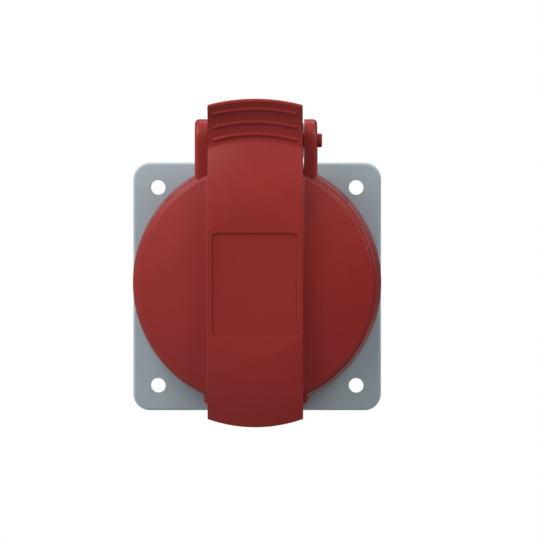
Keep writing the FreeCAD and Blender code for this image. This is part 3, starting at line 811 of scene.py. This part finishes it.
@dataclass(frozen=True)
class SlottedScrew:
    """Screw along z: its seat at 0, its thread above and its slotted head below."""

    radius: float
    length: float
    pitch: float
    depth: float
    plain: float = 0.0
    head_radius: float = 0.0
    head_height: float = 0.0
    slot_width: float = 0.8
    slot_depth: float = 1.0
    sides: int = 24
    steps: int = 8
    chamfer: float = 0.14
    arc_steps: int = 20
    slot_steps: int = 2
    head_overlap: float = 0.2

    # The thread's form, and how its tip narrows over its last turns.
    crest_gain: float = 1.35
    root_flat: float = 0.15
    tip_turns: float = 1.2
    tip_taper: float = 0.22

    # The slotted disc of a screw without a head: how deep in the thread it ends, how thick
    # it is under the slot, and how far above the slot the thread starts.
    disc_inset: float = 0.6
    disc_floor: float = 0.6
    disc_overlap: float = 0.3

    def reach(self, height: float, angle: float) -> float:
        """Radius of the thread.

        Args:
            height: Height over the seat.
            angle: Angle round the axis.

        Returns:
            The radius there, with the crest, the flanks and the root of the thread.
        """
        phase = (height / self.pitch - angle / (2 * math.pi)) % 1.0
        crest = min(max(self.crest_gain * abs(2 * phase - 1) - self.root_flat, 0.0), 1.0)
        fade = min(max((height - self.plain) / self.pitch, 0.0), 1.0)
        tip = min(max((self.length - height) / (self.tip_turns * self.pitch), 0.0), 1.0)
        root = self.radius - self.depth
        start = self.radius if self.plain > 0 else root
        body = start + (root - start) * fade
        narrowed = 1.0 - self.tip_taper + self.tip_taper * tip
        return (body + self.depth * crest * fade) * narrowed

    def thread(self, low: float) -> bmesh.types.BMesh:
        """The shank, closed at both ends.

        Args:
            low: Height of its lower end.

        Returns:
            The shank.
        """
        shape = bmesh.new()
        start = max(self.plain, low)
        count = max(int((self.length - start) / self.pitch * self.steps), 2)
        rises = [start + (self.length - start) * i / count for i in range(count + 1)]
        heights = [low, self.plain * 0.5, *rises] if self.plain > 0 else [low, *rises[1:]]
        rows = []
        for height in heights:
            row = []
            for side in range(self.sides):
                angle = 2 * math.pi * side / self.sides
                r = self.reach(height, angle)
                row.append(shape.verts.new((r * math.cos(angle), r * math.sin(angle), height)))
            rows.append(row)
        for here, there in zip(rows, rows[1:]):
            for side in range(self.sides):
                ahead = (side + 1) % self.sides
                shape.faces.new((here[side], here[ahead], there[ahead], there[side]))
        shape.faces.new(list(reversed(rows[0])))
        shape.faces.new(rows[-1])
        return shape

    def slotted(self, radius: float, low: float, high: float) -> bmesh.types.BMesh:
        """A disc with the driver's slot across its lower face and softened edges.

        Args:
            radius: Its radius.
            low: Height of the slotted face.
            high: Height of the plain face.

        Returns:
            The disc.
        """
        shape = bmesh.new()
        gap = math.asin(self.slot_width / 2 / radius)
        half_turn = math.pi
        arcs = (
            (-gap, gap, self.slot_steps),
            (gap, half_turn - gap, self.arc_steps),
            (half_turn - gap, half_turn + gap, self.slot_steps),
            (half_turn + gap, 2 * half_turn - gap, self.arc_steps),
        )
        outline, marks = [], []
        for start, end, steps in arcs:
            marks.append(len(outline))
            outline += [start + (end - start) * i / steps for i in range(steps)]
        marks.append(len(outline))
        spot = [(radius * math.cos(a), radius * math.sin(a)) for a in outline]
        total = len(spot)
        floor = low + self.slot_depth
        top = [shape.verts.new((x, y, high)) for x, y in spot]
        middle = [shape.verts.new((x, y, floor)) for x, y in spot]
        shape.faces.new(top)
        for i in range(total):
            j = (i + 1) % total
            shape.faces.new((middle[i], middle[j], top[j], top[i]))
        for part in (1, 3):
            span = [k % total for k in range(marks[part], marks[part + 1] + 1)]
            lower = [shape.verts.new((*spot[k], low)) for k in span]
            for i in range(len(span) - 1):
                shape.faces.new((lower[i], lower[i + 1], middle[span[i + 1]], middle[span[i]]))
            shape.faces.new(list(reversed(lower)))
            shape.faces.new((lower[0], middle[span[0]], middle[span[-1]], lower[-1]))
        right = [middle[k % total] for k in range(marks[0], marks[1] + 1)]
        left = [middle[k % total] for k in range(marks[2], marks[3] + 1)]
        shape.faces.new(list(reversed(right + left)))
        bmesh.ops.recalc_face_normals(shape, faces=shape.faces)
        sharp = [e for e in shape.edges if e.calc_face_angle(0.0) > math.radians(50)]
        bmesh.ops.bevel(
            shape, geom=sharp, offset=self.chamfer, segments=2, profile=0.6, affect="EDGES",
            clamp_overlap=True)
        return shape

    def mesh(self, name: str) -> bpy.types.Mesh:
        """The whole screw.

        Args:
            name: The mesh's name.

        Returns:
            Its mesh, along z.
        """
        if self.head_radius > 0:
            whole = self.slotted(self.head_radius, -self.head_height, 0.0)
            shank = self.thread(-self.head_overlap)
        else:
            radius = self.radius - self.depth * self.disc_inset
            whole = self.slotted(radius, 0.0, self.slot_depth + self.disc_floor)
            shank = self.thread(self.slot_depth + self.disc_overlap)
        joined = bpy.data.meshes.new(f"{name}_shank")
        shank.to_mesh(joined)
        shank.free()
        whole.from_mesh(joined)
        bpy.data.meshes.remove(joined)
        return meshed(name, whole, 40.0)


@dataclass(frozen=True)
class ScrewSet:
    """Like screws on a circle round the socket's axis, which are one node of the frame."""

    node: str
    screw: SlottedScrew
    seat: float
    seed: int
    count: int = 4
    circle: float = 0.0
    start: float = 0.0

    def build(self, pattern: Pattern) -> None:
        """Cut the screws and set them.

        Args:
            pattern: The tree that sets copies on a circle.
        """
        one = self.screw.mesh(f"{self.node}_start")
        one.transform(Matrix.Translation((0.0, 0.0, self.seat)))
        name = f"{self.node}_cut"
        mesh = pattern.make(name, one, PALETTE.zinc, {
            "Count": self.count, "Circle": self.circle, "Start": self.start, "Seed": self.seed})
        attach(seat(name, mesh, PALETTE.zinc, (self.node,)), Body.ROOT.value)


class SubAssembly:
    """Group of pieces that are built and dressed together."""

    def build(self) -> None:
        """Build and dress every piece of the group."""
        raise NotImplementedError


@dataclass
class Housing(SubAssembly):
    """Flange housing, the sheet gasket behind it and the screws that hold the collar."""

    side: float = 73.0
    corner: float = 4.0
    thickness: float = 1.5
    spigot_hole: float = 33.1
    fixing_hole: float = 2.6
    fixing_half: float = 30.0
    edge: float = 0.18
    corner_steps: int = 8
    spigot_steps: int = 96
    fixing_steps: int = 32
    screws: ScrewSet = ScrewSet(
        "collar_screws",
        SlottedScrew(1.1, 10.9, 0.8, 0.26, head_radius=2.05, head_height=1.6, sides=20),
        seat=3.1, seed=3, circle=35.0, start=math.radians(45))

    def gasket(self) -> bpy.types.Mesh:
        """Cut the sheet gasket, punched for the spigot and the fixings, with soft edges.

        Returns:
            The gasket.
        """
        curve = bpy.data.curves.new("gasket_sheet", "CURVE")
        curve.dimensions = "2D"
        curve.fill_mode = "BOTH"
        curve.bevel_depth = self.edge
        curve.bevel_resolution = 2
        curve.offset = -self.edge
        curve.extrude = self.thickness / 2 - self.edge
        half = self.side / 2
        middle = -AXIS_RISE
        add_outline(curve, rounded_outline(
            (-half, middle - half), (half, middle + half), self.corner, self.corner_steps))
        holes = [(0.0, 0.0, self.spigot_hole, self.spigot_steps)]
        holes += [
            (x * self.fixing_half, middle + y * self.fixing_half, self.fixing_hole,
             self.fixing_steps)
            for x in (-1, 1) for y in (-1, 1)]
        for x, y, radius, steps in holes:
            turns = [2 * math.pi * i / steps for i in range(steps)]
            add_outline(
                curve, [(x + radius * math.cos(a), y + radius * math.sin(a)) for a in turns])
        sheet = bpy.data.objects.new("gasket_sheet", curve)
        bpy.context.scene.collection.objects.link(sheet)
        view = bpy.context.evaluated_depsgraph_get()
        view.update()
        mesh = bpy.data.meshes.new_from_object(sheet.evaluated_get(view), depsgraph=view)
        bpy.data.objects.remove(sheet)
        bpy.data.curves.remove(curve)
        mesh.transform(Matrix.Translation((0.0, 0.0, self.thickness / 2)))
        shape = bmesh.new()
        shape.from_mesh(mesh)
        bpy.data.meshes.remove(mesh)
        return meshed("flange_gasket_rubber", shape, 30.0)

    def build(self) -> None:
        """Build and dress the housing's pieces."""
        dress("flange_housing", PALETTE.grey)
        sheet = seat("flange_gasket_rubber", self.gasket(), PALETTE.rubber, ("flange_gasket",))
        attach(sheet, Body.ROOT.value)
        self.screws.build(ring_pattern())


@dataclass
class Collar(SubAssembly):
    """Front collar with the hinge ears, and the pin through them."""

    nodes: tuple[str, ...] = ("front_collar", "hinge_pin")

    def build(self) -> None:
        """Dress the collar and its pin."""
        for node in self.nodes:
            dress(node, PALETTE.red)


@dataclass
class Lid(SubAssembly):
    """Lid with its seal."""

    seal_inner: float = 28.0
    seal_outer: float = 32.0
    seal_low: float = 32.05
    seal_high: float = 34.05
    seal_corner: float = 0.4
    corner_steps: int = 5
    groove_radius: float = 30.0
    groove_half: float = 0.9
    groove_slope: float = 0.25
    groove_depth: float = 0.15
    turn_steps: int = 128

    def seal(self) -> bpy.types.Mesh:
        """Turn the seal, with round edges and the print of the mouth in its face.

        Returns:
            The seal.
        """
        outline = rounded_outline(
            (self.seal_inner, self.seal_low), (self.seal_outer, self.seal_high),
            self.seal_corner, self.corner_steps)
        inner = self.groove_radius - self.groove_half
        outer = self.groove_radius + self.groove_half
        low, deep = self.seal_low, self.seal_low + self.groove_depth
        groove = [
            (inner - self.groove_slope, low), (inner, deep),
            (outer, deep), (outer + self.groove_slope, low)]
        # The lower face lies between the third corner and the fourth.
        cut = 3 * (self.corner_steps + 1)
        ring = turned(outline[:cut] + groove + outline[cut:], self.turn_steps)
        return meshed("lid_seal", ring, 30.0)

    def build(self) -> None:
        """Dress the lid and build its seal."""
        dress("lid", PALETTE.red)
        ring = seat("lid_seal", self.seal(), PALETTE.rubber, ("lid_gasket",))
        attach(ring, Body.LID.value)


@dataclass
class HingeSpring(SubAssembly):
    """Torsion spring round the hinge pin, one leg under the tab and one on the collar."""

    rise: float = 43.3
    height: float = 23.4
    radius: float = 3.15
    wire: float = 0.55
    pitch: float = 2.2
    turns: float = 4.07986
    start: float = math.radians(138.1285)
    first_leg: float = 15.32
    last_leg: float = 9.97
    leg_shares: tuple[float, ...] = (0.33, 0.66, 1.0)
    steps: int = 40
    sides: int = 16

    def path(self) -> bpy.types.Mesh:
        """Draw the wire's middle line, with its two legs, as one chain of edges.

        Returns:
            The line.
        """
        width = self.turns * self.pitch
        end = self.start + 2 * math.pi * self.turns
        points = []

        def spot(angle: float, x: float, ahead: float = 0.0) -> tuple[float, float, float]:
            """Find a point on the turns, or on the straight that leaves them.

            Args:
                angle: Angle round the pin.
                x: Place along the pin.
                ahead: Length of the straight.

            Returns:
                The point.
            """
            y = self.rise + self.radius * math.cos(angle) - ahead * math.sin(angle)
            z = self.height + self.radius * math.sin(angle) + ahead * math.cos(angle)
            return (x, y, z)

        for share in reversed(self.leg_shares):
            points.append(spot(self.start, -width / 2, -self.first_leg * share))
        count = int(self.turns * self.steps)
        for i in range(count + 1):
            share = i / count
            angle = self.start + (end - self.start) * share
            points.append(spot(angle, width * (share - 0.5)))
        for share in self.leg_shares:
            points.append(spot(end, width / 2, self.last_leg * share))
        mesh = bpy.data.meshes.new("spring_line")
        mesh.from_pydata(points, [(i, i + 1) for i in range(len(points) - 1)], [])
        return mesh

    def build(self) -> None:
        """Sweep the wire and bake its place into its mesh."""
        swept = wire_pattern().make("lid_spring_wire", self.path(), PALETTE.wire, {
            "Radius": self.wire, "Sides": self.sides})
        spring = seat("lid_spring_wire", swept, PALETTE.wire, ("lid_spring",))
        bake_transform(spring)


@dataclass
class ContactBlock(SubAssembly):
    """Carrier, terminal holder, contacts, and the screws that clamp and hold them."""

    circle: float = 17.5
    first_angle: float = 270.0
    step: float = 72.0
    terminal_height: float = -24.0
    terminal_inner: float = 2.1
    terminal_screw: SlottedScrew = SlottedScrew(2.0, 5.6, 0.7, 0.3)
    slot_angle: float = 25.0
    slot_step: float = 50.0
    screw_sets: tuple[ScrewSet, ...] = (
        ScrewSet(
            "carrier_screws",
            SlottedScrew(1.2, 7.0, 0.8, 0.28, head_radius=2.4, head_height=1.8, sides=20),
            seat=-13.0, seed=8, circle=28.6, start=math.radians(45)),
        ScrewSet(
            "centre_screw",
            SlottedScrew(
                1.75, 25.6, 0.6, 0.26, plain=15.0, head_radius=3.2, head_height=2.4, steps=6),
            seat=-32.6, seed=5, count=1),
    )
    insulators: tuple[str, ...] = ("contact_carrier", "terminal_holder")

    def terminal_screws(self) -> None:
        """Cut a clamping screw for each terminal and set it, slot outwards."""
        outer = self.circle + self.terminal_inner + self.terminal_screw.length
        lie_down = Matrix.Rotation(math.radians(-90), 4, "Y")
        for index, contact in enumerate(Contact):
            name = f"clamp_screw_{contact.value}"
            mesh = self.terminal_screw.mesh(name)
            angle = math.radians(self.first_angle - self.step * index)
            inward = Matrix.Rotation(angle, 4, "Z") @ Matrix.Translation((outer, 0.0, 0.0))
            inward = Matrix.Translation((0.0, 0.0, self.terminal_height)) @ inward
            spin = Matrix.Rotation(math.radians(self.slot_angle + self.slot_step * index), 4, "Z")
            mesh.transform(inward @ lie_down @ spin)
            screw = seat(name, mesh, PALETTE.zinc, (f"terminal_screw_{contact.value}",))
            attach(screw, Body.ROOT.value)

    def build(self) -> None:
        """Dress and build the contact block."""
        for node in self.insulators:
            dress(node, PALETTE.insulator)
        for contact in Contact:
            dress(f"contact_{contact.value}", PALETTE.brass)
            dress(f"grip_ring_{contact.value}", PALETTE.ring_steel)
        self.terminal_screws()
        pattern = ring_pattern()
        for screws in self.screw_sets:
            screws.build(pattern)


@dataclass(frozen=True)
class Lamp:
    """Soft round lamp that looks at the socket. Its places and size are in metres."""

    name: str
    place: tuple[float, float, float]
    size: float
    power: float
    aim: tuple[float, float, float] = (0.0, -0.015, 0.0)

    def hang(self) -> None:
        """Put the lamp in the scene."""
        light = bpy.data.lights.new(self.name, "AREA")
        light.shape = "DISK"
        light.size = self.size
        light.energy = self.power
        lamp = bpy.data.objects.new(self.name, light)
        lamp.location = self.place
        way = Vector(self.aim) - lamp.location
        lamp.rotation_euler = way.to_track_quat("-Z", "Y").to_euler()
        bpy.context.scene.collection.objects.link(lamp)


@dataclass
class Studio:
    """Pale floor, white surroundings, lamps and camera, in metres but for the camera's aim."""

    floor_height: float = -0.10
    floor_radius: float = 0.55
    floor_tone: float = 0.5
    fade_start: float = 0.3
    fade_end: float = 0.8
    floor_glow: float = 0.2
    floor_rim: float = 0.6
    floor_shine: float = 0.4
    level: float = 0.61
    overhead: float = 0.16
    leftward: float = 0.38
    behind: float = 0.20
    mirrored: float = 0.6
    dimmed: float = 0.54
    lamps: tuple[Lamp, ...] = (
        Lamp("key_lamp", (-0.60, -0.475, 0.82), 0.8, 8.2),
        Lamp("side_lamp", (0.60, -0.55, 0.70), 0.4, 3.4),
        Lamp("rim_lamp", (0.94, -0.12, 0.34), 0.22, 1.8),
        Lamp("back_lamp", (0.15, 0.55, 0.95), 0.5, 1.6),
    )
    distance: float = 6.0
    lens: float = 1320.0
    sensor: float = 36.0
    nearest: float = 0.1
    farthest: float = 100.0
    sideways: float = 0.95
    raised: float = 1.1
    aim: tuple[float, float, float] = (3.92, -6.0, 5.01)

    def floor(self) -> None:
        """Round pale floor that keeps a shadow, and that doesn't hide the object from below."""
        shape = bmesh.new()
        bmesh.ops.create_circle(
            shape, cap_ends=True, segments=96, radius=self.floor_radius,
            matrix=Matrix.Translation((0.0, 0.0, self.floor_height)))
        mesh = bpy.data.meshes.new("studio_floor")
        shape.to_mesh(mesh)
        shape.free()
        finish = bpy.data.materials.new("studio_floor")
        finish.use_nodes = True
        graph = Graph(finish.node_tree)
        tone = self.floor_tone
        matt = graph.node("ShaderNodeBsdfDiffuse", {}, {"Color": (tone, tone, tone, 1.0)})
        path = graph.node("ShaderNodeLightPath", output="Is Camera Ray")
        reach = graph.node(
            "ShaderNodeVectorMath", {"operation": "LENGTH"}, {0: graph.place()}, "Value")
        span = self.fade_end - self.fade_start
        fade = (reach * (1.0 / (span * self.floor_radius)) - self.fade_start / span).limited()
        glow = graph.node("ShaderNodeEmission", {}, {
            "Strength": path * (fade * self.floor_rim + self.floor_glow)})
        lit = graph.node("ShaderNodeAddShader", {}, {0: matt, 1: glow})
        clear = graph.node("ShaderNodeBsdfTransparent")
        below = graph.node("ShaderNodeNewGeometry", output="Backfacing")
        hidden = path.other("Is Glossy Ray") * (1.0 - self.floor_shine)
        unseen = graph.maths("MAXIMUM", below, path.other("Is Diffuse Ray") + hidden)
        both = graph.node("ShaderNodeMixShader", {}, {0: unseen, 1: lit, 2: clear})
        graph.node("ShaderNodeOutputMaterial", {}, {"Surface": both})
        mesh.materials.append(finish)
        floor = bpy.data.objects.new("studio_floor", mesh)
        bpy.context.scene.collection.objects.link(floor)

    def surroundings(self) -> None:
        """World that is white behind the object, and an even dim light on it."""
        world = bpy.data.worlds.new("studio")
        world.use_nodes = True
        graph = Graph(world.node_tree)
        path = graph.node("ShaderNodeLightPath", output="Is Camera Ray")
        clear = graph.maths("MAXIMUM", path, path.other("Is Transmission Ray"))
        way = graph.node("ShaderNodeTexCoord", output="Generated")
        back = graph.node("ShaderNodeSeparateXYZ", {}, {0: way}, "Y")
        soft = back.other("Z") * self.overhead - back.other("X") * self.leftward + self.level
        soft = soft + back * self.behind
        shine = path.other("Is Glossy Ray") * (self.mirrored - back * self.dimmed)
        share = graph.maths("MAXIMUM", shine, path.other("Is Diffuse Ray"))
        strength = graph.maths("MAXIMUM", clear, soft * share)
        light = graph.node("ShaderNodeBackground", {}, {
            "Color": (1.0, 1.0, 1.0, 1.0), "Strength": strength})
        graph.node("ShaderNodeOutputWorld", {}, {"Surface": light})
        bpy.context.scene.world = world

    def camera(self) -> None:
        """Long lens, almost square on, a little from the right and above."""
        lens = bpy.data.cameras.new("camera")
        lens.lens = self.lens
        lens.sensor_width = self.sensor
        lens.clip_start = self.nearest
        lens.clip_end = self.farthest
        camera = bpy.data.objects.new("camera", lens)
        side, up = math.radians(self.sideways), math.radians(self.raised)
        way = Vector((math.sin(side) * math.cos(up), -math.cos(side) * math.cos(up), math.sin(up)))
        camera.location = Vector(self.aim) * MM + way * self.distance
        camera.rotation_euler = (-way).to_track_quat("-Z", "Y").to_euler()
        bpy.context.scene.collection.objects.link(camera)
        bpy.context.scene.camera = camera

    def build(self) -> None:
        """Set up the whole studio."""
        self.floor()
        self.surroundings()
        for lamp in self.lamps:
            lamp.hang()
        self.camera()
        bpy.context.scene.view_settings.view_transform = "Standard"


def main() -> None:
    """Build the socket and its studio in order."""
    logging.basicConfig(level=logging.INFO, format="%(name)s: %(message)s")
    for group in (Housing(), Collar(), Lid(), HingeSpring(), ContactBlock()):
        log.info("group %s", type(group).__name__)
        group.build()
    Studio().build()


if __name__ == "__main__":
    main()
